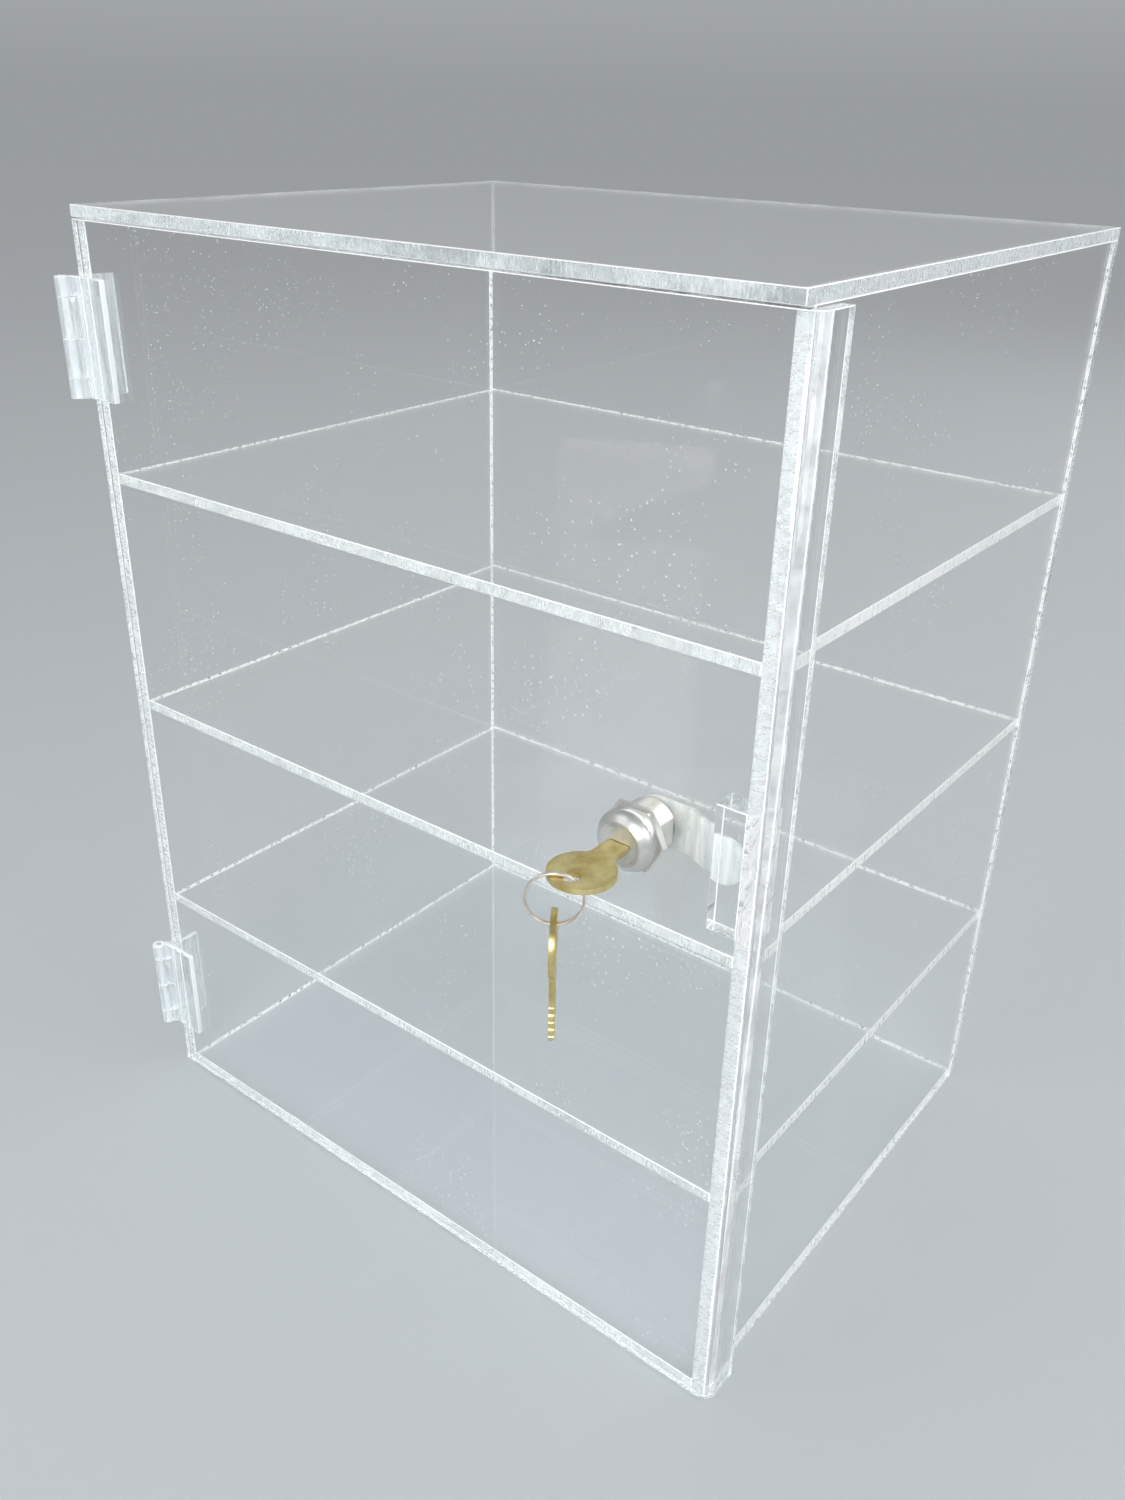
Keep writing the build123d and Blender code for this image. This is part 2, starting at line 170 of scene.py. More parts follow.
def makeEdge(name, look, across):
    # a worked sheet edge: saw and scraper marks scatter light, so it glows whitish beside the clear faces;
    # the glued and arris looks are whiter, with painted glow and painted highlight in them
    material, tree = newTree(f"{name}AcrylicEdge{'XYZ'[across]}")
    place = addNode(tree, "TexCoord").outputs["Object"]
    stretch = [1.0, 1.0, 1.0]
    stretch[across] = edgeMarks["stretch"]
    drawn = addNode(tree, "Mapping", inputs={"Vector": place, "Scale": stretch})
    ticks = addNode(tree, "TexNoise", inputs={
        "Vector": drawn.outputs["Vector"], "Scale": 1 / look["tick"], "Detail": 3.0, "Roughness": 0.6})
    low, high = edgeMarks["roughShare"]
    roughness = addRamp(tree, ticks.outputs["Fac"], [(low, look["roughLow"]), (high, look["roughHigh"])])
    chips = addNode(tree, "TexNoise", inputs={
        "Vector": place, "Scale": 1 / look["chip"], "Detail": 4.0, "Roughness": 0.65})
    both = addNode(tree, "Math", {"operation": "MULTIPLY_ADD"}, {
        0: ticks.outputs["Fac"], 1: edgeMarks["tickWeight"], 2: chips.outputs["Fac"]})
    mixed = addNode(tree, "Math", {"operation": "MULTIPLY"}, {0: both.outputs[0], 1: edgeMarks["sumScale"]})
    low, high = look["chipShare"]
    passing = addRamp(tree, mixed.outputs[0], [(low, look["clearest"]), (high, look["cloudiest"])])
    bump = addNode(tree, "Bump", inputs={
        "Height": ticks.outputs["Fac"], "Distance": look["depth"], "Strength": edgeMarks["bump"]})
    shader = addNode(tree, "BsdfPrincipled", inputs={
        "Base Color": toLinear(look["colour"]), "Roughness": roughness.outputs["Color"],
        "IOR": acrylic["ior"], "Transmission Weight": passing.outputs["Color"],
        "Normal": bump.outputs["Normal"]})
    closeTree(tree, lampsThrough(tree, shader, acrylic["edgeLampTint"]))
    return material


clearAcrylic = makeClearAcrylic()
# one material for each finish and each direction across the sheet
edgeMaterials = {
    (name, across): makeEdge(name, look, across) for name, look in edgeLooks.items() for across in range(3)}
edgeNames = list(edgeLooks)


# Moulded plastic
moulding = {
    "ior": 1.585,
    "body": "#f8fbfd",
    "lampTint": "#f3f6f6",
    "flow": 1.6 * mm,
    "flowStretch": (1.0, 1.0, 0.1),
    "flowRough": [(0.35, 0.05), (0.7, 0.2)],
    "clearShare": (0.3, 0.7),
    "flowDepth": 0.06 * mm,
    "bump": 0.12,
}


def makeHingePlastic(name, clearest, cloudiest):
    # injection-moulded clear polycarbonate: glassy, a little milky, with flow lines along the leaf
    material, tree = newTree(name)
    place = addNode(tree, "TexCoord").outputs["Object"]
    stretch = addNode(tree, "Mapping", inputs={"Vector": place, "Scale": moulding["flowStretch"]})
    flow = addNode(tree, "TexNoise", inputs={
        "Vector": stretch.outputs["Vector"], "Scale": 1 / moulding["flow"], "Detail": 3.0})
    roughness = addRamp(tree, flow.outputs["Fac"], moulding["flowRough"])
    low, high = moulding["clearShare"]
    passing = addRamp(tree, flow.outputs["Fac"], [(low, cloudiest), (high, clearest)])
    bump = addNode(tree, "Bump", inputs={
        "Height": flow.outputs["Fac"], "Distance": moulding["flowDepth"], "Strength": moulding["bump"]})
    shader = addNode(tree, "BsdfPrincipled", inputs={
        "Base Color": toLinear(moulding["body"]), "Roughness": roughness.outputs["Color"],
        "IOR": moulding["ior"], "Transmission Weight": passing.outputs["Color"],
        "Normal": bump.outputs["Normal"]})
    closeTree(tree, lampsThrough(tree, shader, moulding["lampTint"]))
    return material


# Metals
metal = {
    "cloud": 6.25 * mm,
    "cloudShare": (0.35, 0.65),
    "markShare": (0.3, 0.7),
    "markDepth": 0.02 * mm,
    "bump": 0.5,
}


def makeMetal(name, colours, roughLow, roughHigh, grain, stretch=(1.0, 1.0, 1.0), metallic=1.0):
    material, tree = newTree(name)
    place = addNode(tree, "TexCoord").outputs["Object"]
    drawn = addNode(tree, "Mapping", inputs={"Vector": place, "Scale": stretch})
    marks = addNode(tree, "TexNoise", inputs={
        "Vector": drawn.outputs["Vector"], "Scale": 1 / grain, "Detail": 6.0, "Roughness": 0.7})
    cloud = addNode(tree, "TexNoise", inputs={
        "Vector": drawn.outputs["Vector"], "Scale": 1 / metal["cloud"], "Detail": 3.0})
    stops = [(share, toLinear(shade)) for share, shade in zip(metal["cloudShare"], colours)]
    colour = addRamp(tree, cloud.outputs["Fac"], stops)
    low, high = metal["markShare"]
    roughness = addRamp(tree, marks.outputs["Fac"], [(low, roughLow), (high, roughHigh)])
    bump = addNode(tree, "Bump", inputs={
        "Height": marks.outputs["Fac"], "Distance": metal["markDepth"], "Strength": metal["bump"]})
    shader = addNode(tree, "BsdfPrincipled", inputs={
        "Base Color": colour.outputs["Color"], "Metallic": metallic,
        "Roughness": roughness.outputs["Color"], "Normal": bump.outputs["Normal"]})
    closeTree(tree, shader)
    return material


hingePlastic = makeHingePlastic("clearMouldedPolycarbonate", 0.88, 0.56)
hingeClear = makeHingePlastic("thinMouldedPolycarbonate", 1.0, 0.94)
# the rim, the leaf's end caps and plate flanks: near opaque white, a painted glow for light caught along the
# moulding's edges
hingeRimPaintedGlow = makeHingePlastic("polycarbonateRimPaintedGlow", 0.04, 0.0)
# nickel over zinc casting, tumbled before plating: silvery and satin, a shade warm
nickelPlate = makeMetal("satinNickelPlate", ("#dad9d5", "#ebeae7"), 0.32, 0.46, 0.5 * mm)
# the plug's face and the ring round it, duller than the plated head
castZinc = makeMetal("dieCastZinc", ("#c6c7c7", "#dfe0df"), 0.34, 0.5, 0.4 * mm, metallic=0.75)
# zinc-plated steel strip with rolling marks across the cam; its near-white, mostly non-metal colour is a
# painted sheen, as bright as a glare off the plating
zincPlate = makeMetal("zincPlatedSteelPaintedSheen", ("#d2dad9", "#ffffff"), 0.3, 0.5, 1.1 * mm, (2.0, 2.0, 0.3), 0.3)
# stamped key brass with handling marks: pale yellow with duller olive patches
keyBrass = makeMetal("stampedKeyBrass", ("#d2bb76", "#f0dfa2"), 0.24, 0.44, 0.3 * mm)
waferBrass = makeMetal("waferBrass", ("#b99a4b", "#cfae5d"), 0.25, 0.4, 0.3 * mm)
# nickel-plated spring steel wire, worn towards copper where it rubs
ringSteel = makeMetal("nickelledSpringWire", ("#d6c5b8", "#faf6f2"), 0.26, 0.44, 0.3 * mm)
springSteel = makeMetal("blackenedSpringSteel", ("#6c6e72", "#85878a"), 0.25, 0.4, 0.3 * mm)
print("materials made")


# Working in edit mode
def selectOnly(piece):
    bpy.ops.object.select_all(action="DESELECT")
    piece.select_set(True)
    bpy.context.view_layer.objects.active = piece


def settle(piece):
    # the finished place goes into the mesh, as a CAD node's does
    selectOnly(piece)
    bpy.ops.object.transform_apply(location=True, rotation=True, scale=True)


def pickFaces(piece, wanted):
    bpy.ops.mesh.select_mode(type="FACE")
    bpy.ops.mesh.select_all(action="DESELECT")
    bpy.ops.object.mode_set(mode="OBJECT")
    for face in piece.data.polygons:
        face.select = wanted(face)
    bpy.ops.object.mode_set(mode="EDIT")


def pickEdges(piece, wanted):
    bpy.ops.mesh.select_mode(type="EDGE")
    bpy.ops.mesh.select_all(action="DESELECT")
    bpy.ops.object.mode_set(mode="OBJECT")
    for edge in piece.data.edges:
        edge.select = wanted(*[piece.data.vertices[index].co for index in edge.vertices])
    bpy.ops.object.mode_set(mode="EDIT")


def giveFinish(piece, slotNumber, wanted):
    pickFaces(piece, wanted)
    piece.active_material_index = slotNumber
    bpy.ops.object.material_slot_assign()


def addMaterials(piece, materials):
    piece.data.materials.clear()
    for material in materials:
        piece.data.materials.append(material)


def cutWith(piece, cutter, operation="DIFFERENCE"):
    selectOnly(piece)
    cut = piece.modifiers.new("cut", "BOOLEAN")
    cut.operation = operation
    cut.solver = "EXACT"
    cut.object = cutter
    bpy.ops.object.modifier_apply(modifier=cut.name)
    bpy.data.objects.remove(cutter)


def bevelModifier(piece, width, segments, degrees):
    selectOnly(piece)
    edge = piece.modifiers.new("edge", "BEVEL")
    edge.width = width
    edge.segments = segments
    edge.limit_method = "ANGLE"
    edge.angle_limit = math.radians(degrees)
    bpy.ops.object.modifier_apply(modifier=edge.name)


# vertices nearer than the weld are merged, and faces that meet flatter than the angle become one
cadMesh = {
    "weld": 0.002 * mm,
    "flatAngle": 1.5,
}


def copyNode(node):
    # a CAD node's mesh, its loose triangles merged, as the start of a finer piece
    bpy.ops.object.select_all(action="DESELECT")
    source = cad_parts[node]
    piece = bpy.data.objects.new(node + "_copy", source.data.copy())
    scene.collection.objects.link(piece)
    selectOnly(piece)
    bpy.ops.object.mode_set(mode="EDIT")
    bpy.ops.mesh.select_all(action="SELECT")
    bpy.ops.mesh.remove_doubles(threshold=cadMesh["weld"])
    bpy.ops.mesh.dissolve_limited(angle_limit=math.radians(cadMesh["flatAngle"]))
    bpy.ops.object.mode_set(mode="OBJECT")
    return piece


def putInPlace(piece, name, body, slot, *replaced):
    piece.name = name
    piece.data.name = name
    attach(piece, body)
    if replaced:
        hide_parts(*replaced)


def middle(node):
    low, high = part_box(node)
    return (low + high) / 2


def boxPiece(low, high, inset=0.0):
    bpy.ops.object.select_all(action="DESELECT")
    bpy.ops.mesh.primitive_cube_add(size=1.0, location=(low + high) / 2)
    piece = bpy.context.object
    piece.scale = [s - 2 * inset for s in high - low]
    settle(piece)
    return piece


def turnPiece(profile, centre, axis, start, steps):
    # a profile of (radius, distance along the axis) points, drawn vertex by vertex and spun round the axis
    bpy.ops.object.select_all(action="DESELECT")
    axis = Vector(axis).normalized()
    out = Vector(start).normalized()
    points = [Vector(centre) + out * radius + axis * along for radius, along in profile]
    bpy.ops.mesh.primitive_plane_add(size=mm, location=points[0])
    piece = bpy.context.object
    settle(piece)
    bpy.ops.object.mode_set(mode="EDIT")
    bpy.ops.mesh.select_mode(type="VERT")
    bpy.ops.mesh.select_all(action="SELECT")
    bpy.ops.mesh.merge(type="CENTER")
    for here, there in zip(points, points[1:]):
        bpy.ops.mesh.extrude_region_move(TRANSFORM_OT_translate={"value": there - here})
    bpy.ops.mesh.select_all(action="SELECT")
    bpy.ops.mesh.spin(steps=steps, angle=math.tau, center=centre, axis=axis)
    bpy.ops.mesh.select_all(action="SELECT")
    bpy.ops.mesh.remove_doubles(threshold=hair / 2)
    bpy.ops.mesh.normals_make_consistent(inside=False)
    bpy.ops.object.mode_set(mode="OBJECT")
    return piece


# Flat sheets, each a little smaller than its CAD solid so that glued faces don't coincide
sheets = {
    "gap": 0.02 * mm,
    "arris": 0.3 * mm,
    "arrisAngle": 60,
    # a face whose normal has this much along an axis counts as square to it
    "square": 0.9,
}
# the axis and direction that each side faces
sides = {"left": (0, -1), "right": (0, 1), "front": (1, -1), "rear": (1, 1), "foot": (2, -1), "top": (2, 1)}
# the block glued inside a sheet, whose cement ran over the sheet's front edge
gluedTo = {"right_panel": "strike_block"}
# the finish of each worked side: what isn't named stays clear
gluedShelf = {"left": "glued", "right": "glued", "front": "planed", "rear": "glued"}
gluedSide = {"front": "sawn", "rear": "glued", "top": "glued", "foot": "sawn"}
sheetSides = {
    "top_panel": {"left": "scraped", "right": "sawn", "front": "scraped", "rear": "scraped"},
    "bottom_panel": gluedShelf,
    "back_panel": {"left": "scraped", "right": "scraped", "top": "glued", "foot": "sawn"},
    "left_panel": gluedSide,
    "right_panel": gluedSide,
    "lower_shelf": gluedShelf,
    "middle_shelf": gluedShelf,
    "upper_shelf": gluedShelf,
    "strike_block": {"right": "glued", "top": "planed", "foot": "scraped"},
}


def finishSheet(piece, low, high, across, worked, isArris):
    # the clear faces come first, and then the finishes in their own order
    addMaterials(piece, [clearAcrylic] + [edgeMaterials[name, across] for name in edgeNames])
    bpy.ops.object.mode_set(mode="EDIT")
    for side, name in worked.items():
        axis, sign = sides[side]
        end = high[axis] if sign > 0 else low[axis]

        def isEnd(face):
            faces = face.normal[axis] * sign > sheets["square"]
            return faces and abs(face.center[axis] - end) < sheets["arris"]

        giveFinish(piece, 1 + edgeNames.index(name), isEnd)
    # the broken edges take the arris look, with its painted highlight line
    giveFinish(piece, 1 + edgeNames.index("arris"), isArris)
    bpy.ops.object.mode_set(mode="OBJECT")


def clearBeside(piece, node):
    # solvent cement ran over the sawn front edge beside a glued block and left it clear
    low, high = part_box(node)
    bpy.ops.object.mode_set(mode="EDIT")
    for height in (low.z, high.z):
        bpy.ops.mesh.select_all(action="SELECT")
        bpy.ops.mesh.bisect(plane_co=(0, 0, height), plane_no=(0, 0, 1))

    def isWetted(face):
        return face.normal.y < -sheets["square"] and low.z < face.center.z < high.z

    giveFinish(piece, 0, isWetted)
    bpy.ops.object.mode_set(mode="OBJECT")


def makeSheet(node, worked):
    low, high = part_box(node)
    piece = boxPiece(low, high, sheets["gap"])
    size = high - low
    across = min(range(3), key=lambda axis: size[axis])
    bevelModifier(piece, sheets["arris"], 1, sheets["arrisAngle"])
    bpy.ops.object.shade_flat()

    def isArris(face):
        return max(abs(part) for part in face.normal) < sheets["square"]

    finishSheet(piece, low, high, across, worked, isArris)
    if node in gluedTo:
        clearBeside(piece, gluedTo[node])
    putInPlace(piece, node + "_sheet", "case", "clear_acrylic", node)


for node, worked in sheetSides.items():
    makeSheet(node, worked)
print("case sheets made:", len(sheetSides))


# Door: one sheet, bent while hot at its right edge into a lip
door = {
    "outerBend": 5.7 * mm,
    "innerBend": 1.2 * mm,
    "outerSteps": 20,
    "innerSteps": 8,
    "holeRadius": 9.6 * mm,
    "holeFlats": 16.2 * mm,
    "holeSteps": 72,
    "worked": {"left": "milled", "rear": "milled", "top": "scraped", "foot": "scraped"},
    # the hole's cutter, in depths of the door with its lip
    "cutterLength": 3,
    "flatAngle": 1,
    # the bend's faces start this far left of the lip's inside and end this far behind the door's front
    "innerReach": 1.8 * mm,
    "outerReach": 6.27 * mm,
    # and the hole's lie this near to its axis
    "holeReach": 10.56 * mm,
    # the most that the normal of a wall in the bend or the hole tilts
    "wall": 0.3,
}


def bendCorner(piece, x, y, radius, steps):
    def isCorner(one, other):
        return all(math.hypot(end.x - x, end.y - y) < hair for end in (one, other))

    bpy.ops.object.mode_set(mode="EDIT")
    pickEdges(piece, isCorner)
    bpy.ops.mesh.bevel(offset=radius, segments=steps, affect="EDGES")
    bpy.ops.object.mode_set(mode="OBJECT")


def cutLockHole(piece, low, high):
    axis = middle("lock_plug")
    bpy.ops.object.select_all(action="DESELECT")
    bpy.ops.mesh.primitive_cylinder_add(
        vertices=door["holeSteps"], radius=door["holeRadius"], depth=door["cutterLength"] * (high.y - low.y),
        location=(axis.x, (low.y + high.y) / 2, axis.z), rotation=(math.pi / 2, 0, 0))
    cutter = bpy.context.object
    settle(cutter)
    bpy.ops.object.mode_set(mode="EDIT")
    for side in (-1, 1):
        bpy.ops.mesh.select_all(action="SELECT")
        bpy.ops.mesh.bisect(
            plane_co=(axis.x + side * door["holeFlats"] / 2, 0, 0), plane_no=(side, 0, 0),
            use_fill=True, clear_outer=True)
    bpy.ops.object.mode_set(mode="OBJECT")
    cutWith(piece, cutter)


def makeDoor():
    gap = Vector((1, 1, 1)) * sheets["gap"]
    low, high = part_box("door_panel")
    low = low + gap
    high = high - gap
    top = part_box("top_panel")
    thickness = top[1].z - top[0].z - 2 * sheets["gap"]
    back = low.y + thickness
    inner = high.x - thickness
    piece = boxPiece(low, Vector((high.x, back, high.z)))
    bpy.ops.object.mode_set(mode="EDIT")
    bpy.ops.mesh.select_all(action="SELECT")
    bpy.ops.mesh.bisect(plane_co=(inner, 0, 0), plane_no=(1, 0, 0))
    pickFaces(piece, lambda face: face.normal.y > sheets["square"] and face.center.x > inner)
    bpy.ops.mesh.extrude_region_move(TRANSFORM_OT_translate={"value": (0, high.y - back, 0)})
    bpy.ops.mesh.select_all(action="SELECT")
    bpy.ops.mesh.dissolve_limited(angle_limit=math.radians(door["flatAngle"]))
    bpy.ops.mesh.normals_make_consistent(inside=False)
    bpy.ops.object.mode_set(mode="OBJECT")
    bendCorner(piece, high.x, low.y, door["outerBend"], door["outerSteps"])
    bendCorner(piece, inner, back, door["innerBend"], door["innerSteps"])
    cutLockHole(piece, low, high)
    bevelModifier(piece, sheets["arris"], 1, sheets["arrisAngle"])
    bpy.ops.object.shade_flat()
    axis = middle("lock_plug")
    bendStart = inner - door["innerReach"]
    bendEnd = low.y + door["outerReach"]

    def isBend(face):
        return face.center.x > bendStart and face.center.y < bendEnd and abs(face.normal.z) < door["wall"]

    def inHole(face):
        return math.hypot(face.center.x - axis.x, face.center.z - axis.z) < door["holeReach"]

    def isHoleWall(face):
        return inHole(face) and abs(face.normal.y) < door["wall"]

    def isArris(face):
        if inHole(face):
            return door["wall"] < abs(face.normal.y) < sheets["square"]
        return max(abs(part) for part in face.normal) < sheets["square"] and not isBend(face)

    bpy.ops.object.mode_set(mode="EDIT")
    pickFaces(piece, isBend)
    bpy.ops.mesh.faces_shade_smooth()
    bpy.ops.object.mode_set(mode="OBJECT")
    finishSheet(piece, low, high, 1, door["worked"], isArris)
    bpy.ops.object.mode_set(mode="EDIT")
    giveFinish(piece, 1 + edgeNames.index("sawn"), isHoleWall)
    bpy.ops.object.mode_set(mode="OBJECT")
    putInPlace(piece, "door_panel_sheet", "door", "clear_acrylic", "door_panel")


makeDoor()
print("door made")


# Hinges: moulded leaves with two shallow channels down each plate
hinge = {
    "names": ("upper", "lower"),
    "plateThickness": 2.4 * mm,
    "channelDepth": 0.55 * mm,
    "channelWidth": 2.6 * mm,
    # where the channels and the plate start, from the pin
    "channels": (8.2 * mm, 13.6 * mm),
    "plateStart": 5.4 * mm,
    "round": 0.3 * mm,
    "roundAngle": 40,
    "smoothAngle": 35,
    # an end face's normal is upright at least this much, and a flank's faces outward less than this
    "cap": 0.3,
    "flank": 0.9,
}


def makeHingeLeaf(name, side):
    node = f"{name}_hinge_{side}_leaf"
    piece = copyNode(node)
    low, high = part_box(node)
    pin = middle(name + "_hinge_pin")
    # the door's leaf lies along X on the front, and the case's along Y on the left side
    along, outward = (0, 1) if side == "door" else (1, 0)
    plateFace = high[outward] - hinge["plateThickness"]
    for start in hinge["channels"]:
        corner = low.copy()
        corner[along] = pin[along] + start
        corner[outward] = plateFace - mm
        corner.z -= mm
        far = high.copy()
        far[along] = corner[along] + hinge["channelWidth"]
        far[outward] = plateFace + hinge["channelDepth"]
        far.z += mm
        cutWith(piece, boxPiece(corner, far))
    bevelModifier(piece, hinge["round"], 2, hinge["roundAngle"])
    addMaterials(piece, [hingePlastic, hingeClear, hingeRimPaintedGlow])
    plateStart = pin[along] + hinge["plateStart"]
    farLand = pin[along] + hinge["channels"][-1] + hinge["channelWidth"]
    channelFloor = plateFace + hinge["channelDepth"]

    def isClear(face):
        return abs(face.center[outward] - channelFloor) < hair or face.center[along] > farLand

    def isRim(face):
        inPlate = face.center[along] > plateStart
        isFlank = abs(face.normal[outward]) < hinge["flank"]
        return abs(face.normal.z) > hinge["cap"] or (inPlate and isFlank)

    bpy.ops.object.mode_set(mode="EDIT")
    giveFinish(piece, 1, isClear)
    # the end caps and plate flanks take the rim material, a painted glow
    giveFinish(piece, 2, isRim)
    bpy.ops.object.mode_set(mode="OBJECT")
    bpy.ops.object.shade_smooth_by_angle(angle=math.radians(hinge["smoothAngle"]))
    putInPlace(piece, node + "_moulding", side, "hinge_plastic", node)


for name in hinge["names"]:
    makeHingeLeaf(name, "door")
    makeHingeLeaf(name, "case")
print("hinges made")


# Lock housing: a domed head and a threaded barrel with two flats
housing = {
    "bore": 6.25 * mm,
    "faceRing": 7.66 * mm,
    "flats": 16.0 * mm,
    "plainRadius": 9.5 * mm,
    "pitch": 1.27 * mm,
    "land": 0.3 * mm,
    "threadDepth": 0.5 * mm,
    "steps": 64,
    # turns of thread run past the barrel and are cut off again, half of them at each end
    "spareTurns": 3,
    # the bore's cutter, in lengths of the barrel
    "cutterLength": 4,
    # the barrel starts this far inside the head
    "overlap": 0.3 * mm,
    "ringDepth": 0.1 * mm,
    "smoothAngle": 28,
    # the wafers' grooves, from the door's face and from the lock's axis
    "grooveFrom": -1.6 * mm,
    "grooveTo": 11.2 * mm,
    "grooveReach": 6.25 * mm,
    "grooveHalf": 3.25 * mm,
}
# head outline from the counterbore round the face and down the dome, as radius and depth in millimetres
headOutline = [
    (6.25, 0.6), (6.25, -3.0), (6.95, -3.0), (6.95, -3.92), (7.05, -4.0), (7.62, -4.0), (7.74, -3.86),
    (7.86, -4.0), (8.02, -4.0), (8.2, -3.88), (8.42, -3.7), (9.1, -3.24), (9.8, -2.62), (10.4, -1.86),
    (10.82, -1.14), (11.0, -0.72), (11.0, -0.12), (10.88, 0.0), (8.0, 0.0), (8.0, 0.6), (6.25, 0.6),
]


def makeBarrel(front, back):
    # one pitch of the outline, run down the barrel as a true helix
    pitch = housing["pitch"]
    outer = housing["plainRadius"]
    root = outer - housing["threadDepth"]
    crest = [(outer, (pitch + side * housing["land"]) / 2) for side in (-1, 1)]
    tooth = [(root, 0.0), *crest, (root, pitch)]
    bpy.ops.object.select_all(action="DESELECT")
    bpy.ops.mesh.primitive_plane_add(size=mm)
    piece = bpy.context.object
    bpy.ops.object.mode_set(mode="EDIT")
    bpy.ops.mesh.select_mode(type="VERT")
    bpy.ops.mesh.select_all(action="SELECT")
    bpy.ops.mesh.merge(type="CENTER")
    bpy.ops.transform.translate(value=(root, 0, 0))
    here = Vector((root, 0, 0))
    for radius, along in tooth[1:]:
        there = Vector((radius, 0, along))
        bpy.ops.mesh.extrude_region_move(TRANSFORM_OT_translate={"value": there - here})
        here = there
    bpy.ops.object.mode_set(mode="OBJECT")
    turns = math.ceil((back - front) / pitch) + housing["spareTurns"]
    thread = piece.modifiers.new("thread", "SCREW")
    thread.screw_offset = pitch
    thread.iterations = turns
    thread.steps = thread.render_steps = housing["steps"]
    thread.use_merge_vertices = True
    thread.merge_threshold = hair / 2
    bpy.ops.object.modifier_apply(modifier=thread.name)
    axis = middle("lock_plug")
    # the barrel's own Z runs into the case along +Y
    piece.rotation_euler = (-math.pi / 2, 0, 0)
    piece.location = (axis.x, front - housing["spareTurns"] / 2 * pitch, axis.z)
    settle(piece)
    bpy.ops.object.mode_set(mode="EDIT")
    bpy.ops.mesh.select_all(action="SELECT")
    bpy.ops.mesh.remove_doubles(threshold=hair / 2)
    cuts = [((0, front, 0), (0, -1, 0)), ((0, back, 0), (0, 1, 0))]
    cuts += [((axis.x + side * housing["flats"] / 2, 0, 0), (side, 0, 0)) for side in (-1, 1)]
    for place, normal in cuts:
        bpy.ops.mesh.select_all(action="SELECT")
        bpy.ops.mesh.bisect(plane_co=place, plane_no=normal, use_fill=True, clear_outer=True)
    bpy.ops.mesh.select_all(action="SELECT")
    bpy.ops.mesh.normals_make_consistent(inside=False)
    bpy.ops.object.mode_set(mode="OBJECT")
    bpy.ops.object.select_all(action="DESELECT")
    bpy.ops.mesh.primitive_cylinder_add(
        vertices=housing["steps"], radius=housing["bore"], depth=housing["cutterLength"] * (back - front),
        location=(axis.x, (front + back) / 2, axis.z), rotation=(math.pi / 2, 0, 0))
    bore = bpy.context.object
    settle(bore)
    cutWith(piece, bore)
    return piece


def cutWaferGrooves(piece, axis, doorFace):
    # room for the wafers at both places where the key comes out
    reach = housing["grooveReach"]
    half = housing["grooveHalf"]
    near = doorFace + housing["grooveFrom"]
    far = doorFace + housing["grooveTo"]
    centre = Vector((axis.x, 0, axis.z))
    for low, high in (((0, near, -half), (reach, far, half)), ((-half, near, 0), (half, far, reach))):
        cutWith(piece, boxPiece(centre + Vector(low), centre + Vector(high)))


def makeHousing():
    axis = middle("lock_plug")
    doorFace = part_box("door_panel")[0].y
    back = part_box("lock_housing")[1].y
    centre = (axis.x, doorFace, axis.z)
    profile = [(radius * mm, depth * mm) for radius, depth in headOutline]
    head = turnPiece(profile, centre, (0, 1, 0), (0, 0, 1), housing["steps"])
    barrel = makeBarrel(doorFace + housing["overlap"], back)
    cutWaferGrooves(head, axis, doorFace)
    cutWaferGrooves(barrel, axis, doorFace)
    bpy.ops.object.select_all(action="DESELECT")
    barrel.select_set(True)
    head.select_set(True)
    bpy.context.view_layer.objects.active = head
    bpy.ops.object.join()
    addMaterials(head, [nickelPlate, castZinc])
    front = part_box("lock_housing")[0].y

    def isFaceRing(face):
        radius = math.hypot(face.center.x - axis.x, face.center.z - axis.z)
        return radius < housing["faceRing"] and face.center.y < front + housing["ringDepth"]

    bpy.ops.object.mode_set(mode="EDIT")
    giveFinish(head, 1, isFaceRing)
    bpy.ops.object.mode_set(mode="OBJECT")
    bpy.ops.object.shade_smooth_by_angle(angle=math.radians(housing["smoothAngle"]))
    putInPlace(head, "lock_housing_turned", "door", "nickel_plate", "lock_housing")


makeHousing()


# Stamped and machined pieces: the CAD shape with its edges broken
stampedFinishes = {"nickel_plate": nickelPlate, "zinc_plated_steel": zincPlate, "key_brass": keyBrass}
stampedSmoothAngle = 30
stamped = {
    "lock_nut": {"body": "door", "slot": "nickel_plate", "edge": 0.22 * mm, "angle": 25},
    # the cam and its washer take the zinc plate with its painted sheen
    "lock_cam": {"body": "plug", "slot": "zinc_plated_steel", "edge": 0.3 * mm, "angle": 40},
    "cam_washer": {"body": "plug", "slot": "zinc_plated_steel", "edge": 0.12 * mm, "angle": 40},
    "key": {"body": "key", "slot": "key_brass", "edge": 0.14 * mm, "angle": 32},
    "spare_key": {"body": "spare", "slot": "key_brass", "edge": 0.14 * mm, "angle": 32},
}
for node, values in stamped.items():
    piece = copyNode(node)
    bevelModifier(piece, values["edge"], 2, values["angle"])
    addMaterials(piece, [stampedFinishes[values["slot"]]])
    bpy.ops.object.shade_smooth_by_angle(angle=math.radians(stampedSmoothAngle))
    putInPlace(piece, node + "_broken_edges", values["body"], values["slot"], node)
print("lock and keys made")


# Split ring: one wire wound twice, cranked over where its second turn starts
ring = {
    "wire": 0.43 * mm,
    "mean": 9.32 * mm,
    "spacing": 0.74 * mm,
    # in degrees: the way that the ring lies, and where its wire starts, is cranked and ends
    "heading": 35.0,
    "start": 14.0,
    "crank": (352.0, 374.0),
    "end": 704.0,
    "wireSteps": 12,
    "steps": 172,
    "smoothAngle": 40,
}


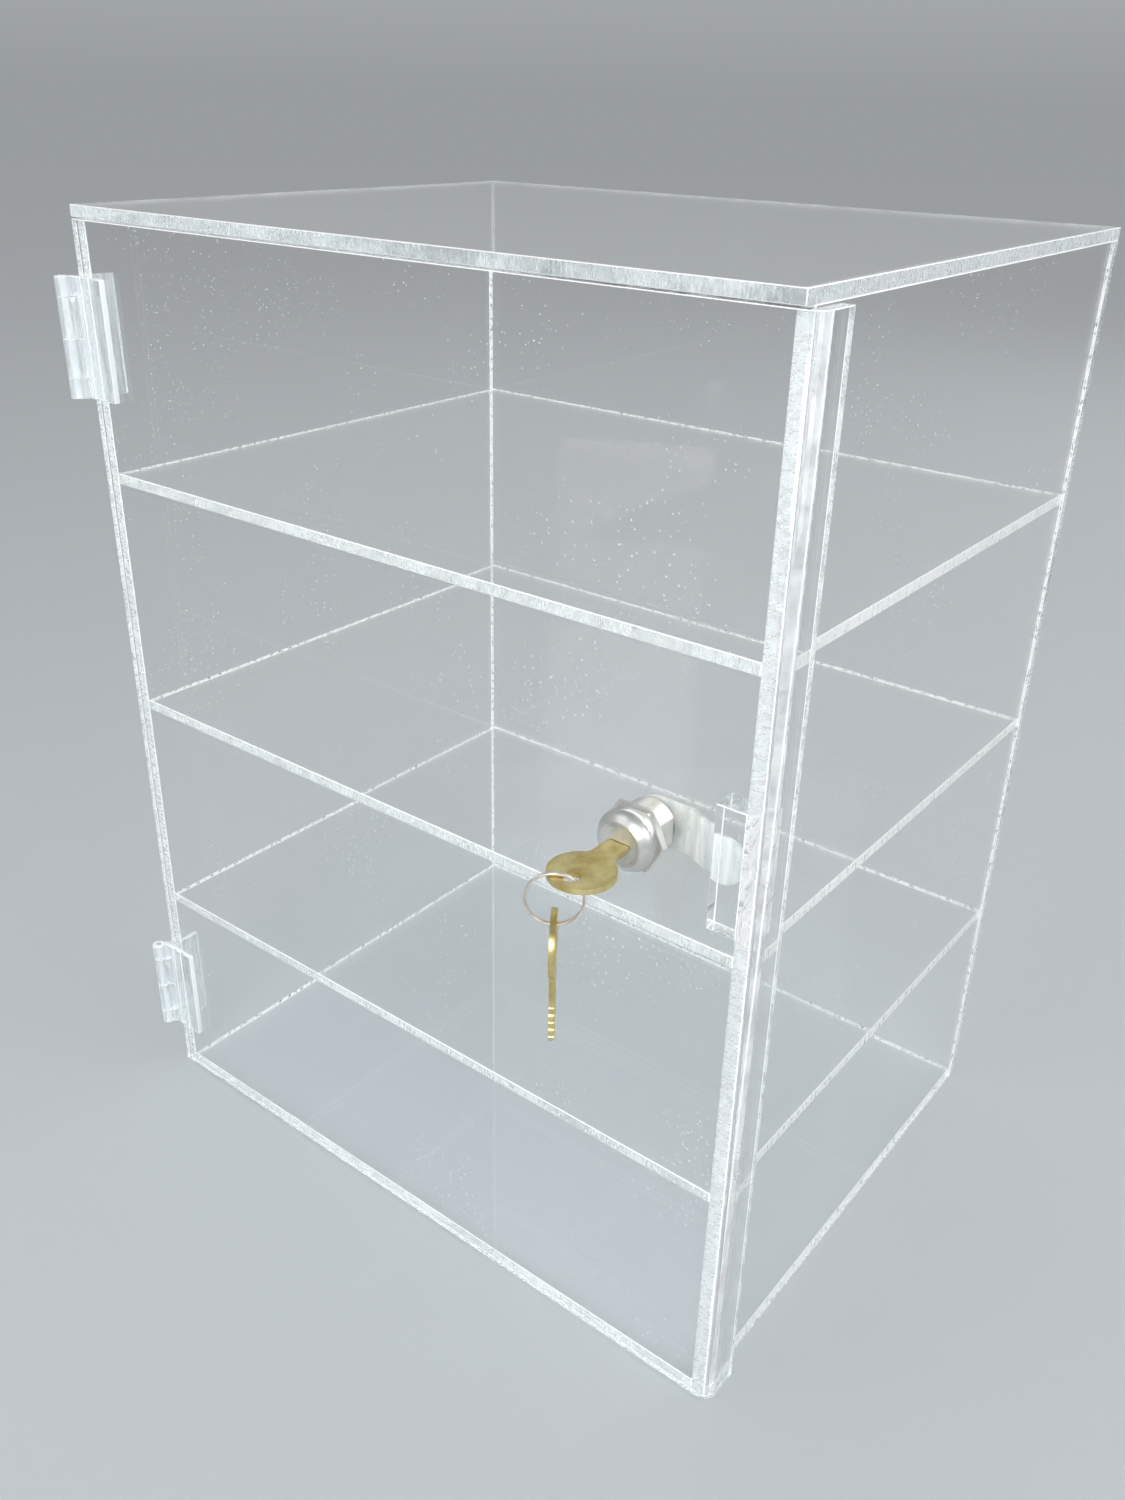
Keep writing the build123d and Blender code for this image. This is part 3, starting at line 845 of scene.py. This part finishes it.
def makeRing():
    centre = middle("key_ring")
    bpy.ops.object.select_all(action="DESELECT")
    bpy.ops.mesh.primitive_circle_add(
        vertices=ring["wireSteps"], radius=ring["wire"], location=(ring["mean"], 0, 0),
        rotation=(math.pi / 2, 0, 0))
    piece = bpy.context.object
    settle(piece)
    bpy.ops.object.mode_set(mode="EDIT")
    bpy.ops.mesh.select_all(action="SELECT")
    sweep = math.radians(ring["end"] - ring["start"])
    bpy.ops.mesh.spin(steps=ring["steps"], angle=sweep, center=(0, 0, 0), axis=(0, 0, 1))
    bpy.ops.object.mode_set(mode="OBJECT")
    first, last = ring["crank"]
    for vertex in piece.data.vertices:
        step = vertex.index // ring["wireSteps"]
        degrees = ring["start"] + (ring["end"] - ring["start"]) * step / ring["steps"]
        share = min(1.0, max(0.0, (degrees - first) / (last - first)))
        vertex.co.z += ring["spacing"] * (share * share * (3 - 2 * share) - 0.5)
    bpy.ops.object.mode_set(mode="EDIT")
    bpy.ops.mesh.select_all(action="SELECT")
    bpy.ops.mesh.fill_holes(sides=0)
    bpy.ops.mesh.normals_make_consistent(inside=False)
    bpy.ops.object.mode_set(mode="OBJECT")
    heading = math.radians(ring["heading"])
    across = Vector((math.cos(heading), math.sin(heading), 0))
    normal = Vector((-across.y, across.x, 0))
    turn = Matrix((across, Vector((0, 0, -1)), normal)).transposed().to_4x4()
    piece.matrix_world = Matrix.Translation(centre) @ turn
    settle(piece)
    addMaterials(piece, [ringSteel])
    bpy.ops.object.shade_smooth_by_angle(angle=math.radians(ring["smoothAngle"]))
    putInPlace(piece, "key_ring_wound", "ring", "ring_steel", "key_ring")


makeRing()


# CAD nodes that keep their shape
kept = {
    "lock_plug": castZinc,
    "lock_wafers": waferBrass,
    "plug_retainer": springSteel,
    # zinc plate with its painted sheen
    "cam_screw": zincPlate,
    "upper_hinge_pin": hingePlastic,
    "lower_hinge_pin": hingePlastic,
}
for node, material in kept.items():
    addMaterials(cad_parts[node], [material])
print("pieces made")


# Floor, light and camera
stage = {
    "floor": "#bfc4c8",
    "floorRough": 0.55,
    "radius": 8.0,
    "rim": 96,
    # the backdrop from the horizon to straight overhead, by the sine of the height angle
    "backdrop": ((0.0, "#999da0"), (0.12, "#aeb2b5"), (0.4, "#bfc3c6"), (0.8, "#83888c")),
    "skyLight": 0.6,
}


def makeStage():
    bpy.ops.object.select_all(action="DESELECT")
    bpy.ops.mesh.primitive_circle_add(vertices=stage["rim"], radius=stage["radius"], fill_type="NGON")
    floor = bpy.context.object
    floor.name = "floor"
    material, tree = newTree("paleFloor")
    shader = addNode(tree, "BsdfPrincipled", inputs={
        "Base Color": toLinear(stage["floor"]), "Roughness": stage["floorRough"]})
    closeTree(tree, shader)
    floor.data.materials.append(material)
    world = bpy.data.worlds.new("studio")
    world.use_nodes = True
    scene.world = world
    world.node_tree.nodes.clear()
    tree = world.node_tree
    path = addNode(tree, "LightPath")
    mirrored = addNode(tree, "Math", {"operation": "MAXIMUM"}, {
        0: path.outputs["Is Glossy Ray"], 1: path.outputs["Is Transmission Ray"]})
    seen = addNode(tree, "Math", {"operation": "MAXIMUM"}, {
        0: path.outputs["Is Camera Ray"], 1: mirrored.outputs[0]})
    up = addNode(tree, "SeparateXYZ", inputs={"Vector": addNode(tree, "TexCoord").outputs["Generated"]})
    sky = addRamp(tree, up.outputs["Z"], [(height, toLinear(shade)) for height, shade in stage["backdrop"]])
    pale = addNode(tree, "Background", inputs={"Color": sky.outputs["Color"], "Strength": 1.0})
    soft = addNode(tree, "Background", inputs={"Color": toLinear("#ffffff"), "Strength": stage["skyLight"]})
    both = addNode(tree, "MixShader", inputs={0: seen.outputs[0], 1: soft.outputs[0], 2: pale.outputs[0]})
    addNode(tree, "OutputWorld", inputs={"Surface": both.outputs[0]})


lampAim = Vector((0, 0, 0.2))
lamps = {
    "key": {"place": (-1.1, -1.5, 1.9), "size": 1.1, "power": 6.5},
    "front": {"place": (0.7, -1.4, 1.0), "size": 0.5, "power": 11.0},
    "fill": {"place": (1.9, -0.6, 1.2), "size": 0.9, "power": 7.5},
    "back": {"place": (0.5, 1.9, 1.6), "size": 1.0, "power": 9.0},
}


def addLamp(name, place, size, power):
    bpy.ops.object.select_all(action="DESELECT")
    bpy.ops.object.light_add(type="AREA", location=place)
    lamp = bpy.context.object
    lamp.name = name
    lamp.data.size = size
    lamp.data.energy = power
    lamp.rotation_euler = (lampAim - Vector(place)).to_track_quat("-Z", "Y").to_euler()


# angles in degrees and the focal length in millimetres
camera = {
    "place": (0.31437, -0.42234, 0.44840),
    "heading": 37.55,
    "down": 26.88,
    "roll": 1.31,
    "focal": 31.29,
    "nearest": 0.01,
}


def addCamera():
    bpy.ops.object.select_all(action="DESELECT")
    bpy.ops.object.camera_add()
    view = bpy.context.object
    view.name = "camera"
    view.data.lens = camera["focal"]
    turn = Matrix.Rotation(math.radians(camera["heading"]), 4, "Z")
    tilt = Matrix.Rotation(math.radians(90 - camera["down"]), 4, "X")
    roll = Matrix.Rotation(math.radians(camera["roll"]), 4, "Z")
    view.matrix_world = Matrix.Translation(camera["place"]) @ turn @ tilt @ roll
    view.data.clip_start = camera["nearest"]
    scene.camera = view


makeStage()
for name, values in lamps.items():
    addLamp(name, **values)
addCamera()
scene.view_settings.view_transform = "Standard"
# light runs a long way inside a sheet before it leaves by an edge
bounces = 64
scene.cycles.max_bounces = bounces
scene.cycles.glossy_bounces = bounces
scene.cycles.transmission_bounces = bounces
scene.cycles.transparent_max_bounces = bounces
print("stage, lamps and camera set")
